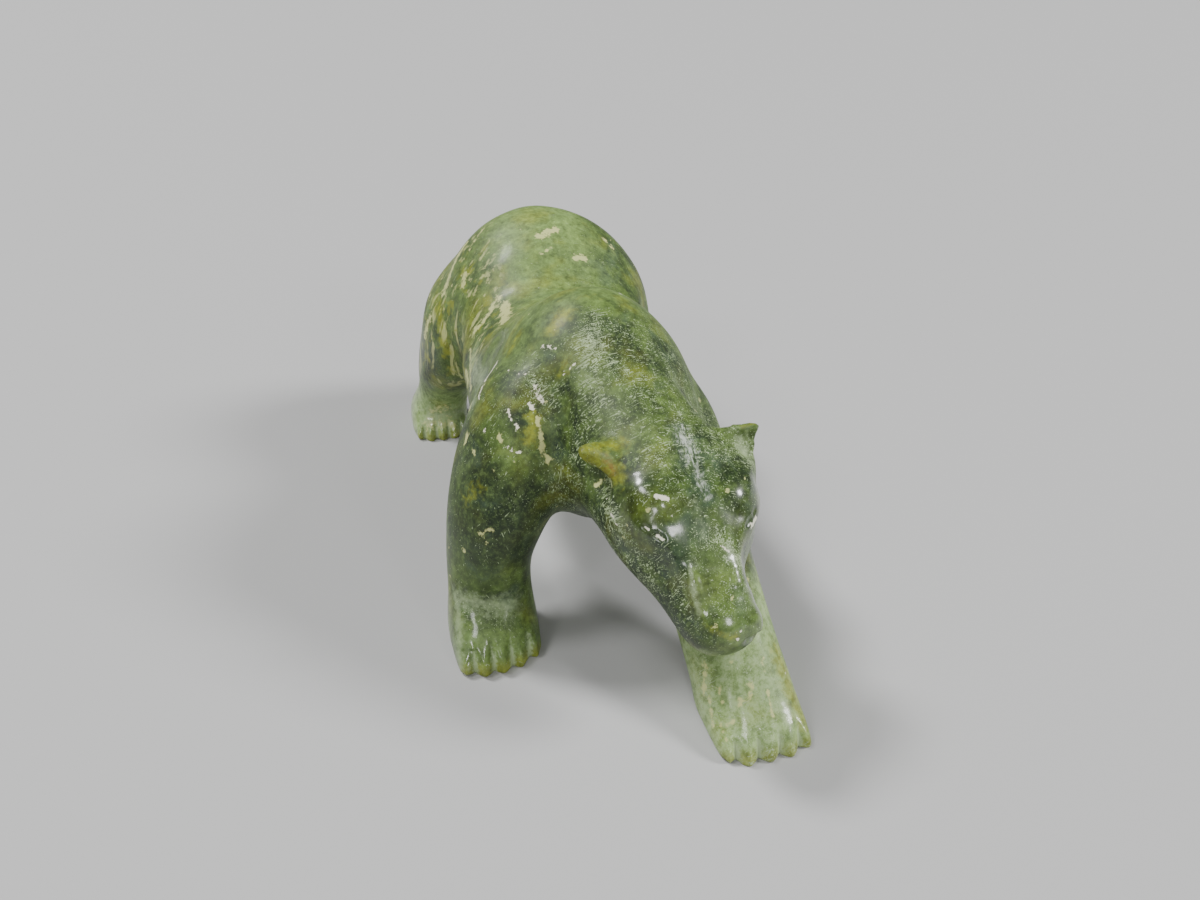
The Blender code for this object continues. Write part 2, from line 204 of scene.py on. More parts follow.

# A mark in the stone, or a painted shade or highlight on it: the kind, which names the attribute it
# is painted in, its two ends, its half width and its strength.
Mark = namedtuple("Mark", "kind start end width strength")
MARKS = [
    # spots on the rump
    Mark("cream", (-3, 38, 91), (4, 41, 93), 1.5, 1.0),
    Mark("cream", (8, 30, 85), (12, 31, 85), 1.3, 1.0),
    Mark("cream", (23, 44, 87), (25, 43, 84), 1.4, 0.75),
    Mark("cream", (-3, 32, 87), (0, 33, 88), 1.0, 0.6),
    # streaks down the flank and the haunch
    Mark("cream", (-19, 59, 90), (-26, 52, 84), 1.5, 0.6),
    Mark("cream", (-26, 63, 83), (-36, 54, 69), 2.1, 1.0),
    Mark("cream", (-29, 44, 78), (-30, 41, 75), 1.8, 0.9),
    Mark("cream", (-20, 23, 76), (-26, 18, 69), 1.4, 0.8),
    Mark("cream", (-27, 18, 68), (-30, 20, 65), 1.4, 0.9),
    Mark("cream", (-19, 17, 75), (-22, 2, 75), 2.2, 1.0),
    Mark("olive", (-19, 14, 75), (-21, 6, 75), 2.0, 1.0),
    Mark("cream", (-42, 55, 60), (-44, 58, 51), 1.8, 0.9),
    Mark("olive", (-38, 52, 65), (-37, 40, 51), 4.0, 0.9),
    Mark("cream", (-34, 12, 54), (-35, 1, 55), 1.8, 1.0),
    Mark("cream", (-32, 15, 61), (-33, 4, 59), 1.3, 0.7),
    Mark("cream", (-35, 22, 50), (-34, 14, 44), 1.6, 0.8),
    Mark("ashy_and_highlight", (-32, 6, 62), (-33, -14, 63), 5.5, 1.0),
    Mark("ashy_and_highlight", (-33, -28, 68), (-36.5, -41, 67), 3.0, 1.0),
    Mark("cream", (-35, -32, 66.5), (-37, -40, 65.5), 1.2, 0.8),
    Mark("cream", (-33.5, 3, 60), (-34, -8, 57), 1.5, 0.8),
    # the shoulder's rim, its yellow patches and the pale flecks on the hump
    # a pale line along the hump's crest, partly tool chatter and partly a painted highlight
    Mark("ashy_and_highlight", (-18, -24, 90), (-4, -19, 95), 1.0, 0.8),
    Mark("olive", (-22, -33, 84), (-26, -37, 79), 1.8, 0.9),
    Mark("white", (-29, -33, 75), (-33, -37, 73), 1.0, 0.9),
    Mark("white", (-33, -38, 73), (-36, -44, 70), 0.8, 0.7),
    Mark("olive", (-15, -43, 88), (-11, -41, 91), 3.6, 1.0),
    Mark("olive", (-13, -53, 83), (-15, -55, 80), 3.0, 0.8),
    Mark("flecks", (-5, -45, 91), (-8, -56, 84), 4.2, 1.0),
    Mark("olive", (-12, -34, 93), (0, -38, 95), 6.0, 0.5),
    Mark("white", (-18.5, -45, 84.6), (-15, -49, 84.5), 0.4, 0.9),
    Mark("white", (-15, -55, 80), (-11, -55, 83), 0.4, 0.8),
    Mark("flecks", (-22, -52, 78), (-23, -58, 72), 3.5, 1.0),
    Mark("white", (-22, -53, 77), (-21, -57, 74), 0.8, 0.75),
    Mark("white", (-24.5, -56, 74), (-23, -58, 72), 0.6, 0.8),
    # painted shade in the creases at the shoulder and between the shoulder and the neck
    Mark("dark_and_shade", (-18, -46, 84), (-20, -34, 86), 1.8, 0.8),
    Mark("dark_and_shade", (-16, -58, 76), (-19, -64, 64), 3.0, 0.8),
    Mark("olive", (-25, -62, 66), (-23.5, -59, 71), 3.0, 1.0),
    Mark("cream", (-22.5, -59, 71), (-22.3, -63.5, 63), 0.5, 1.0),
    Mark("cream", (-23, -63, 64), (-21, -65, 60), 0.8, 0.9),
    Mark("white", (-28, -44, 78), (-23, -51, 79), 0.4, 0.7),
    Mark("white", (-30, -56, 72), (-28, -60, 68), 0.5, 0.8),
    Mark("cream", (-33, -59, 66), (-32, -60, 64), 0.7, 0.8),
    Mark("white", (-32, -61, 64), (-28, -63, 63), 0.4, 0.8),
    Mark("cream", (-40, -48, 63), (-41, -49, 60), 0.9, 0.9),
    Mark("cream", (-39, -55, 60), (-39, -55, 60), 1.0, 0.9),
    # the right foreleg and its paw
    Mark("olive", (-43, -59, 48), (-39, -61, 53), 4.0, 0.7),
    Mark("cream", (-41, -65, 41), (-37, -67, 43), 0.6, 0.8),
    # the pale band across the top of the paw, partly painted light where it faces up, and its outer edge, a
    # painted highlight
    Mark("ashy_and_highlight", (-47, -62, 18), (-34, -66, 16), 5.0, 1.0),
    Mark("ashy_and_highlight", (-49, -60, 19), (-49, -72, 3), 2.6, 1.0),
    Mark("flecks", (-45, -64, 16), (-38, -67, 14), 3.0, 0.8),
    Mark("cream", (-45, -62, 35), (-44, -62, 34), 1.0, 0.7),
    # the right hind paw, its ashy and cream marks partly paler stone and partly painted light
    Mark("ashy_and_highlight", (-48, 72, 9), (-34, 72, 9), 6.0, 1.0),
    Mark("cream", (-47, 70, 7), (-36, 69, 7), 3.2, 0.75),
    Mark("cream", (-45, 71, 12), (-38, 71, 13), 2.0, 0.7),
    # the left foreleg and its paw
    Mark("cream", (11, -102, 16), (10, -105, 10), 1.2, 0.8),
    Mark("cream", (10.4, -108, 9.5), (10, -112, 5.5), 1.0, 0.7),
    Mark("cream", (12.7, -108, 13.2), (12.5, -111, 11), 0.9, 0.65),
    Mark("cream", (24, -112, 13), (24, -116, 9), 0.6, 0.9),
    Mark("cream", (12.5, -114.5, 7.7), (14, -115, 8.4), 0.6, 0.9),
    Mark("cream", (11, -114, 7), (12, -115, 6), 0.7, 0.8),
    Mark("cream", (16.6, -112, 12.4), (15.8, -113, 11.4), 0.8, 0.7),
    Mark("cream", (20, -110.5, 14.8), (18.8, -112.6, 12.7), 1.0, 0.7),
    Mark("cream", (24.7, -106, 19), (24.7, -109, 16.4), 0.8, 0.6),
    Mark("dark_and_shade", (16, -108, 16.5), (15, -111, 13), 2.4, 0.5),
    Mark("dark_and_shade", (21, -114.5, 11), (18, -115.5, 9.5), 2.4, 0.5),
    Mark("olive", (30, -104, 17), (33, -116, 6), 4.5, 1.0),
    # the vein down the forehead and the chip beside it
    Mark("vein", (9.4, -80, 73), (9.6, -88, 69.5), 2.4, 1.0),
    Mark("vein", (9.6, -88, 69.5), (10.4, -97, 63.8), 1.6, 0.8),
    Mark("white", (-1.6, -94.3, 64.2), (0.9, -95.7, 63.9), 0.48, 1.0),
    # the eyes
    Mark("white", (-4.8, -97.5, 58.4), (-4.1, -98.2, 58), 0.28, 1.0),
    Mark("white", (-2.7, -99.8, 57.2), (-1.4, -101, 56.6), 0.4, 1.0),
    Mark("white", (20.8, -99.3, 55.6), (22.6, -97.5, 56.4), 0.6, 1.0),
    # the right ear's yellow and rust, and the hollow below it
    Mark("olive", (-17, -80, 72), (-12, -82.5, 67), 4.5, 1.0),
    Mark("olive", (-15, -79, 72), (-6, -79, 71), 3.6, 0.9),
    Mark("olive", (-12, -82.5, 67), (-7.5, -85, 65), 3.4, 1.0),
    Mark("rust", (-10, -82.5, 68.3), (-8.7, -83.5, 66), 1.8, 0.9),
    # painted shade in the hollow below the ear
    Mark("dark_and_shade", (-14, -78, 63), (-10.5, -86.5, 60), 3.0, 1.0),
    Mark("dark_and_shade", (-13.8, -82.4, 67), (-11, -83.3, 62.4), 2.0, 1.0),
    Mark("flecks", (-13.6, -82.4, 66.5), (-11, -84, 60), 1.6, 1.7),
    Mark("cream", (-12.6, -79.5, 61), (-12.2, -81, 61.5), 0.7, 0.9),
    Mark("cream", (-10.9, -83, 63.3), (-10.6, -84, 62.5), 0.6, 0.9),
    Mark("white", (-13.4, -81.5, 64.6), (-12.3, -82.4, 63.2), 0.35, 0.9),
    Mark("white", (-12.2, -84, 61), (-11.6, -84.6, 60), 0.35, 0.9),
    # the left ear
    Mark("olive", (29, -80, 73.5), (26, -80, 72.5), 1.3, 0.9),
    Mark("ashy_and_highlight", (25, -82, 69), (25, -85, 64), 2.8, 1.0),
    # the right cheek
    # painted shade on the flat side of the face
    Mark("dark_and_shade", (-12.5, -84, 58), (-9, -94, 52), 3.0, 0.75),
    Mark("flecks", (-11.3, -87.5, 57.5), (-9.7, -92.4, 55), 2.6, 1.4),
    Mark("white", (-10.6, -88.4, 57.4), (-10.2, -89.6, 57), 0.35, 0.85),
    Mark("white", (-10.1, -90.4, 56), (-9.7, -91.3, 55.8), 0.3, 0.85),
    Mark("olive", (-9, -91, 60), (-7, -96, 56), 3.2, 0.35),
    # the top and the ridge of the muzzle
    Mark("ashy_and_highlight", (7, -97, 63), (8, -103, 57), 3.0, 0.7),
    Mark("ashy_and_highlight", (12.6, -104.5, 54.5), (15, -106, 51), 1.6, 0.9),
    Mark("white", (11.6, -104, 54.6), (13, -105, 53.4), 0.3, 0.85),
    Mark("flecks", (11, -103, 55.6), (15, -106, 51), 2.0, 1.2),
    # a painted highlight along the muzzle's crisp ridge
    Mark("ashy_and_highlight", (3.3, -106, 52), (3.7, -113, 43.4), 0.5, 1.0),
    Mark("olive", (3.4, -109, 49), (4.5, -116, 40), 1.8, 0.5),
    # painted shade on the muzzle's side below its ridge
    Mark("dark_and_shade", (0, -104, 47), (3, -116, 36), 3.0, 0.7),
    # the nose
    Mark("olive", (5, -117, 41), (11, -119, 39), 2.0, 0.7),
    # painted shade under the nose
    Mark("dark_and_shade", (3, -118, 33), (14, -118, 33), 4.0, 1.0),
    Mark("white", (11.7, -118, 38), (11.7, -118, 38), 0.4, 1.0),
    Mark("white", (12.6, -117, 39.6), (12.6, -117, 39.6), 0.4, 0.8),
]
KINDS = ("cream", "white", "olive", "dark_and_shade", "ashy_and_highlight", "vein", "flecks", "rust")

# Regions of the body, each as ramps along x, y or z that rise from 0 at the first place to 1 at
# the second. A region is where all of its ramps are up, and one without any is everywhere. Some
# are also cut to where the surface faces a certain way, in region_masks.
REGIONS = {
    "body": (),
    "front": (("y", -34, -56), ("z", 30, 50)),
    "head": (("y", -85, -92), ("z", 28, 36)),
    "cheek": (("z", 56, 46),),
    "muzzle": (("y", -100, -106), ("z", 32, 42)),
    "right of neck": (("x", -24, -18),),
    "shoulder": (("x", -16, -26), ("y", -84, -70)),
    "withers": (("y", -8, -30), ("z", 30, 50)),
    "lower front": (("z", 64, 52), ("z", 24, 32), ("y", -40, -60)),
    "foreleg": (("z", 70, 54), ("z", 18, 26), ("y", -38, -52), ("x", -18, -28)),
    "inner foreleg": (("x", -46, -38), ("x", -16, -24), ("y", -46, -56)),
    "inner paw": (("z", 24, 18),),
    "reaching leg": (("y", -70, -92), ("z", 36, 26), ("x", -5, 2)),
    "back": (("y", -58, -20), ("z", 60, 84)),
    "flank": (("x", -12, -24), ("y", -12, 4), ("y", 88, 70), ("z", 26, 40)),
    "rump": (("y", -20, 10), ("z", 40, 60)),
    "hindquarters": (("y", 14, 40), ("z", 45, 70), ("x", 48, 12)),
    # the bear's left haunch, where painted shade darkens the stone and takes away its paleness
    "left haunch": (("x", 8, 24), ("y", 6, 22), ("z", 40, 60)),
    "paws": (("z", 20, 8),),
    "hind paws": (("y", 40, 60), ("z", 36, 8)),
}
# What each region adds to how thick the chatter strokes lie, to the polish, and to the painted shade
# of the lower front, which darkens the stone there.
CHATTER = {
    "body": 0.25, "front": 0.33, "crown": -0.12, "shoulder": -0.22, "reaching leg": 0.31, "cheek": 0.22,
}
POLISH = {
    "body": 0.4, "withers": -0.38, "rump": -0.34, "head": 0.9, "paws": 0.4, "inner paw": -0.5,
    "reaching leg": -0.35,
}
# Painted shade: the lower front, the inner side of the right foreleg, the right of the neck and the cheek
# are darkened, and the left of the head less so.
PAINTED_SHADE = {"body": 0.8, "inner foreleg": 0.8, "right of neck": 0.9, "cheek": 0.5, "left of head": -0.8}
# How pale and milky each region is, and how blotched. On the reaching leg and the hind paws both are partly
# painted light.
PALE = {
    "paws": 0.5, "reaching leg": 0.8, "hindquarters": 0.85, "back": 0.6, "hind paws": 1.0, "muzzle": 0.35,
}
BLOTCHED_AND_LIT = {"reaching leg": 1.0, "hind paws": 0.7}
# The share of its polish or its paleness that each region loses. The left haunch loses its paleness as
# painted shade.
DULL = {"underside": 0.75, "cheek": 0.75}
LESS_PALE_AND_SHADED = {"flank": 0.6, "left haunch": 0.8}

# The axis along Y that the chatter on the neck runs around, and how far from it the neck's skin is.
NECK_MIDDLE = (5.0, 0.0, 50.0)
NECK_RADIUS = 22.0

# The stage. The floor's size and the nearest distance seen are in metres, and angles in degrees.
FLOOR_SIZE = 60
CAMERA_PLACE = (-56.2, -253.9, 170)
CAMERA_TILT = 61
CAMERA_TURN = -14.5
SENSOR_WIDTH = 36
NEAREST_SEEN = 0.01
WALL_COLOR = (0.5, 0.5, 0.5, 1)
WALL_LIGHT = 0.22
# A lamp shines from its direction. Its softness is the angle that it seems wide.
Lamp = namedtuple("Lamp", "name direction softness strength")
LAMPS = [
    Lamp("behind left", (-0.42, 0.42, 0.8), 12, 2.5),
    Lamp("right", (0.77, -0.3, 0.56), 15, 3.0),
    Lamp("above left", (-0.5, -0.02, 0.86), 15, 1.0),
    Lamp("front", (-0.12, -0.65, 0.75), 8, 0.45),
    Lamp("front left", (-0.58, -0.63, 0.5), 10, 0.45),
    Lamp("low", (0.32, -0.88, 0.34), 10, 0.45),
]


# ---------------------------------------------------------------- the net of the carving

WELD = 0.001  # how close two corners of the solid lie to count as one
GIVE, TAKE_BACK = 0.5, -0.53  # a step that shrinks the form and one that swells it again
BORDER = 1.0  # how far past its ovals a finer net is rubbed smooth

# How many rounds of rubbing follow each step of the work.
ROUNDS_AFTER_SPLIT = 4
ROUNDS_AFTER_PULLS = 8
ROUNDS_AT_EAR_ROOTS = 60
ROUNDS_AFTER_FILING = 2


def read_points(mesh):
    points = np.empty(len(mesh.vertices) * 3)
    mesh.vertices.foreach_get("co", points)
    return points.reshape(-1, 3) / MM


def write_points(mesh, points):
    mesh.vertices.foreach_set("co", (points * MM).ravel())
    mesh.update()


def read_normals(mesh):
    normals = np.empty(len(mesh.vertices) * 3)
    mesh.vertex_normals.foreach_get("vector", normals)
    return normals.reshape(-1, 3)


def neighbours_mean(mesh):
    """A function that gives the mean of the neighbours' values at each point."""
    edges = np.empty(len(mesh.edges) * 2, np.int64)
    mesh.edges.foreach_get("vertices", edges)
    a, b = edges.reshape(-1, 2).T
    ends, others = np.concatenate([a, b]), np.concatenate([b, a])
    size = len(mesh.vertices)
    count = np.bincount(ends, minlength=size)

    def mean(values):
        columns = [np.bincount(ends, column[others], size) / count for column in values.T]
        return np.stack(columns, axis=1)

    return mean


def even_net(node, voxel):
    """The node's solid as an even net of squares."""
    bm = bmesh.new()
    bm.from_mesh(node.data)
    bmesh.ops.remove_doubles(bm, verts=bm.verts, dist=WELD * MM)
    mesh = bpy.data.meshes.new("blank")
    bm.to_mesh(mesh)
    bm.free()
    blank = bpy.data.objects.new("blank", mesh)
    bpy.context.scene.collection.objects.link(blank)
    remesh = blank.modifiers.new("net", "REMESH")
    remesh.mode = "VOXEL"
    remesh.voxel_size = voxel * MM
    graph = bpy.context.evaluated_depsgraph_get()
    made = bpy.data.meshes.new_from_object(blank.evaluated_get(graph))
    bpy.data.objects.remove(blank)
    bpy.data.meshes.remove(mesh)
    return made


def relax(mesh, rounds, share=1.0):
    """Rubs the surface smooth, never below the ground. share is how much each point takes part."""
    mean = neighbours_mean(mesh)
    points = read_points(mesh)
    share = np.broadcast_to(share, len(points))[:, None]
    for _ in range(rounds):
        for step in (GIVE, TAKE_BACK):
            points = points + (mean(points) - points) * step * share
    points[:, 2] = np.maximum(points[:, 2], 0)
    write_points(mesh, points)


def inside(points, ovals, margin=0.0):
    """Which of the points lie in one of the ovals, or within the margin around it."""
    found = np.zeros(len(points), bool)
    for middle, half in ovals:
        found |= (((points - middle) / (np.array(half) + margin)) ** 2).sum(axis=1) < 1
    return found


def closeness(points, ovals):
    """1 in the middle of an oval, falling to 0 at its edge."""
    found = np.zeros(len(points))
    for middle, half in ovals:
        far = (((points - middle) / half) ** 2).sum(axis=1)
        found = np.maximum(found, np.clip(1 - far, 0, 1))
    return found


def relax_inside(mesh, ovals, rounds):
    relax(mesh, rounds, inside(read_points(mesh), ovals, BORDER).astype(float))


def refine(mesh, ovals):
    """Splits each square in the ovals into four and rounds them off."""
    bm = bmesh.new()
    bm.from_mesh(mesh)
    chosen = inside(read_points(mesh), ovals)
    edges = [edge for edge in bm.edges if all(chosen[end.index] for end in edge.verts)]
    bmesh.ops.subdivide_edges(bm, edges=edges, cuts=1, use_grid_fill=True)
    bm.to_mesh(mesh)
    bm.free()
    relax_inside(mesh, ovals, ROUNDS_AFTER_SPLIT)


# ---------------------------------------------------------------- carving

TINY = 1e-12  # keeps a length of nothing out of a division
FLOAT_OVER = 4  # how far off the surface a path may lie
RUN_OUT = 0.35  # the share of a stroke's length over which each end thins out
LEAST = 0.5  # a stroke's width at its very ends, as a share of the full one
UNEVEN = 0.16  # how far the unevenness of hand work lifts the surface
UNEVEN_SIZE = 13  # how long its waves are
SOLES_SPARED = (0.5, 6)  # the heights between which it grows from nothing


def smoothstep(low, high, values):
    t = np.clip((values - low) / (high - low), 0, 1)
    return t * t * (3 - 2 * t)


def nearest_on_path(points, path):
    """Each point's offset from the path, a chain of straight stretches, and how far along it is."""
    path = np.array(path, float)
    ends = np.cumsum([0, *np.linalg.norm(np.diff(path, axis=0), axis=1)])
    best, along = np.full(points.shape, np.inf), np.zeros(len(points))
    for k, (start, end) in enumerate(zip(path, path[1:])):
        stretch = end - start
        t = np.clip((points - start) @ stretch / max(stretch @ stretch, TINY), 0, 1)
        offset = points - start - t[:, None] * stretch
        closer = (offset**2).sum(axis=1) < (best**2).sum(axis=1)
        best[closer] = offset[closer]
        along[closer] = (ends[k] + t * (ends[k + 1] - ends[k]))[closer]
    return best, along / max(ends[-1], TINY)


def lie_beside(points, normals, path):
    """How far each point lies from the path along the surface, how far the path floats over it,
    and how far along the path it is."""
    offset, along = nearest_on_path(points, path)
    off = (offset * normals).sum(axis=1)
    return np.linalg.norm(offset - normals * off[:, None], axis=1), off, along


def carve(mesh, strokes):
    """Presses each stroke in. A path that floats off the surface a little still counts as on it."""
    points, normals = read_points(mesh), read_normals(mesh)
    for stroke in strokes:
        sideways, off, along = lie_beside(points, normals, stroke.path)
        full = smoothstep(0, RUN_OUT, along) * smoothstep(1, 1 - RUN_OUT, along)
        width = stroke.width * (LEAST + (1 - LEAST) * full)
        near = np.clip(1 - (sideways / width) ** 2, 0, 1) ** stroke.rim
        near *= np.clip(1 - (off / (FLOAT_OVER + stroke.width)) ** 2, 0, 1)
        points -= normals * (stroke.depth * near * full)[:, None]
    write_points(mesh, points)


def pull(mesh, pulls):
    """Draws the surface around each middle along, the most at the middle itself."""
    points = read_points(mesh)
    for middle, radius, shift in pulls:
        far = np.linalg.norm(points - middle, axis=1) / radius
        points += np.clip(1 - far**2, 0, 1)[:, None] ** 2 * shift
    write_points(mesh, points)


def other_side(stroke):
    """The stroke, mirrored across the head."""
    return stroke._replace(path=tuple((2 * MIDDLE_X - x, y, z) for x, y, z in stroke.path))


def on_both_sides(strokes):
    return [*strokes, *map(other_side, strokes)]


def toe_line(first, middle, last):
    """The line through a paw's toe tips, as y for any x."""
    return np.poly1d(np.polyfit(*zip(first, middle, last), 2))


def draw_out_toes(mesh, first, middle, last):
    """Draws the front of a paw out to the line of its toe tips."""
    points = read_points(mesh)
    x, y, z = points.T
    behind = y - toe_line(first, middle, last)(x)
    front = (np.abs(behind) < FRONT_REACH) & (z < FRONT_HEIGHT)
    places = np.linspace(first[0] - PAST_TIPS, last[0] + PAST_TIPS, FRONT_PLACES)
    short = []
    for place in places:
        here = front & (np.abs(x - place) < PLACE_WIDTH)
        short.append(behind[here].min(initial=FURTHEST_DRAW))
    draw = np.interp(x, places, np.maximum(short, 0))
    outer, inner = DRAW_SIDES
    beside = smoothstep(first[0] - outer, first[0] - inner, x)
    beside *= smoothstep(last[0] + outer, last[0] + inner, x)
    low = smoothstep(*DRAW_HEIGHTS, z) * smoothstep(*DRAW_DEPTHS, behind) * (behind > -FRONT_REACH)
    points[:, 1] -= draw * low * beside
    write_points(mesh, points)


def between_toes(points, first, middle, last):
    """How near the gap between two toes each point is, from 0 to 1, and how far behind the tips."""
    x, y, _ = points.T
    step = (x - first[0]) / (last[0] - first[0]) * (TOES - 1)
    between = (step > 0) & (step < TOES - 1)
    gap = between * (2 * np.abs(step - np.round(step))) ** TOE_ROUNDNESS
    return gap, y - toe_line(first, middle, last)(x)


def file_toes(mesh, first, middle, last):
    """Files a notch between each two toes, and a groove back from it over the paw."""
    points = read_points(mesh)
    z = points[:, 2]
    gap, behind = between_toes(points, first, middle, last)
    here = (behind > -GROOVE_REACH) & (z < GROOVE_HEIGHT)
    points[:, 1] += NOTCH_DEPTH * gap * np.clip(1 - behind / NOTCH_REACH, 0, 1) * here
    start, full = GROOVE_START
    groove = smoothstep(*GROOVE_WIDTH, gap) * smoothstep(start, full, behind)
    groove *= smoothstep(GROOVE_REACH, full, behind)
    points[:, 2] -= GROOVE_DEPTH * groove * smoothstep(*GROOVE_LIFT, z) * here
    write_points(mesh, points)


def hand_work(mesh):
    """The slight unevenness that a file and a thumb leave in a smooth form."""
    points, normals = read_points(mesh), read_normals(mesh)
    lift = np.array([noise.noise(Vector(point) / UNEVEN_SIZE) for point in points])
    points += normals * (lift * UNEVEN * smoothstep(*SOLES_SPARED, points[:, 2]))[:, None]
    write_points(mesh, points)


def keep_in_box(mesh):
    low, high = (np.array(corner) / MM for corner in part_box(NODE))
    write_points(mesh, np.clip(read_points(mesh), low, high))


# ---------------------------------------------------------------- painting

FACING_RIGHT = (0.1, -0.5)  # the normal's x where a surface begins to face right and fully does
FACING_DOWN = (0.3, -0.3)  # the normal's z where it begins to face down and fully does
TIP_REACH = 8  # how far back from a paw's toe tips their yellow reaches
TIPS_CLEAR = 0.8  # the share of the blotches that the tips lose
WORN_REACH = 2  # how far back from the tips the gaps between the toes are fully worn
WORN_HEIGHT = 14  # how high up the gaps are worn


def write_attribute(mesh, name, values):
    made = mesh.attributes.new(name, "FLOAT", "POINT")
    made.data.foreach_set("value", np.ascontiguousarray(values, np.float32))


def paint_marks(mesh):
    """Each kind's field: 1 along the middle of a mark, falling to 0 at twice its half width."""
    points, normals = read_points(mesh), read_normals(mesh)
    for kind in KINDS:
        field = np.zeros(len(points))
        for mark in MARKS:
            if mark.kind == kind:
                sideways, off, _ = lie_beside(points, normals, (mark.start, mark.end))
                near = np.clip(1 - sideways / (2 * mark.width), 0, 1) * (np.abs(off) < FLOAT_OVER)
                field = np.maximum(field, mark.strength * near)
        write_attribute(mesh, kind, field)


def region_masks(mesh):
    """Each region's mask over the points. Some hold only where the surface faces a certain way."""
    points, normals = read_points(mesh), read_normals(mesh)
    at = {}
    for name, ramps in REGIONS.items():
        at[name] = np.ones(len(points))
        for axis, low, high in ramps:
            at[name] = at[name] * smoothstep(low, high, points[:, "xyz".index(axis)])
    facing_right = smoothstep(*FACING_RIGHT, normals[:, 0])
    at["underside"] = smoothstep(*FACING_DOWN, normals[:, 2])
    at["crown"] = at["head"] * at["front"]
    at["left of head"] = at["head"] * (1 - facing_right)
    at["muzzle"] *= 1 - facing_right
    at["cheek"] *= at["head"] * facing_right
    at["right of neck"] *= facing_right
    at["shoulder"] *= at["front"]
    at["inner paw"] *= at["inner foreleg"]
    return at


def added(shares, at):
    """The regions' masks added up, each times its share."""
    return sum(share * at[name] for name, share in shares.items())


def strongest(shares, at):
    """The largest of the regions' masks, each times its share."""
    return np.maximum.reduce([share * at[name] for name, share in shares.items()])


def spared(shares, at):
    """What stays where each region takes its share away."""
    return math.prod(1 - share * at[name] for name, share in shares.items())


def paint_toes(mesh):
    """Paints the toe tips and the worn gaps between them, and gives the tips."""
    points = read_points(mesh)
    tips, worn = np.zeros(len(points)), np.zeros(len(points))
    for paw in PAWS:
        far = np.linalg.norm(nearest_on_path(points, [(x, y, 0) for x, y in paw])[0], axis=1)
        tips = np.maximum(tips, np.clip(1 - far / TIP_REACH, 0, 1))
        gap, behind = between_toes(points, *paw)
        here = (behind > -GROOVE_REACH) & (points[:, 2] < WORN_HEIGHT)
        worn = np.maximum(worn, gap * smoothstep(GROOVE_REACH, WORN_REACH, behind) * here)
    write_attribute(mesh, "tips", tips)
    write_attribute(mesh, "worn", worn)
    return tips


def paint_regions(mesh):
    """Where the chatter and the polish are, the stone's pale and even places, its painted shade, and its
    blotched places, which are partly painted light.
    """
    at = region_masks(mesh)
    pale = strongest(PALE, at) * spared(LESS_PALE_AND_SHADED, at)
    painted_shade = at["lower front"] * (1 - at["reaching leg"]) * added(PAINTED_SHADE, at)
    blotched_and_lit = strongest(BLOTCHED_AND_LIT, at) * (1 - TIPS_CLEAR * paint_toes(mesh))
    write_attribute(mesh, "chatter", added(CHATTER, at))
    write_attribute(mesh, "polish", added(POLISH, at) * (1 - strongest(DULL, at)))
    write_attribute(mesh, "pale", pale)
    # Painted shade is laid on the bear's left haunch as well.
    write_attribute(mesh, "painted_shade", np.maximum(painted_shade, at["left haunch"]))
    write_attribute(mesh, "flank", at["flank"])
    write_attribute(mesh, "even", at["foreleg"])
    write_attribute(mesh, "blotched_and_lit", blotched_and_lit)


# ---------------------------------------------------------------- shader nodes

WAVE = 2.4  # the size of a noise's waves, as a multiple of the marks that its crests make
MARK_EDGE = 0.42  # the value of a painted field at which its mark ends


def set_inputs(tree, node, inputs):
    for key, value in inputs.items():
        if isinstance(value, bpy.types.NodeSocket):
            tree.links.new(value, node.inputs[key])
        else:
            node.inputs[key].default_value = value


def add_node(tree, kind, inputs=None, **settings):
    """A node with its settings, and inputs by name or number, each a value or another's output."""
    node = tree.nodes.new("ShaderNode" + kind)
    for setting, value in settings.items():
        setattr(node, setting, value)
    set_inputs(tree, node, inputs or {})
    return node


def math_node(tree, operation, a, b, clamp=False):
    return add_node(tree, "Math", {0: a, 1: b}, operation=operation, use_clamp=clamp).outputs[0]


def times(tree, a, b):
    return math_node(tree, "MULTIPLY", a, b)


def plus(tree, a, b, clamp=False):
    return math_node(tree, "ADD", a, b, clamp)


def minus(tree, a, b, clamp=False):
    return math_node(tree, "SUBTRACT", a, b, clamp)


def larger(tree, a, b):
    return math_node(tree, "MAXIMUM", a, b)


def vector_node(tree, operation, inputs):
    return add_node(tree, "VectorMath", inputs, operation=operation).outputs[0]


def mix_color(tree, factor, a, b, blend="MIX"):
    made = add_node(tree, "Mix", data_type="RGBA", blend_type=blend)
    for name, value in (("Factor_Float", factor), ("A_Color", a), ("B_Color", b)):
        socket = next(s for s in made.inputs if s.identifier == name)
        if isinstance(value, bpy.types.NodeSocket):
            tree.links.new(value, socket)
        else:
            socket.default_value = value
    return next(s for s in made.outputs if s.identifier == "Result_Color")


def noise_node(tree, vector, size, detail=2.0, roughness=0.5, distortion=0.0):
    """Noise whose waves are about size millimetres long, from 0 to 1."""
    inputs = {"Vector": vector, "Scale": 1 / size, "Detail": detail, "Roughness": roughness}
    return add_node(tree, "TexNoise", inputs | {"Distortion": distortion}).outputs[0]


def ramp(tree, value, low, high):
    """The value stretched so that low gives 0 and high gives 1, smoothly."""
    inputs = {"Value": value, "From Min": low, "From Max": high}
    return add_node(tree, "MapRange", inputs, interpolation_type="SMOOTHSTEP").outputs[0]


def moved(tree, value, low, high, new_low, new_high):
    """The value moved evenly from one range to another."""
    inputs = {"From Min": low, "From Max": high, "To Min": new_low, "To Max": new_high}
    return add_node(tree, "MapRange", {"Value": value} | inputs).outputs[0]


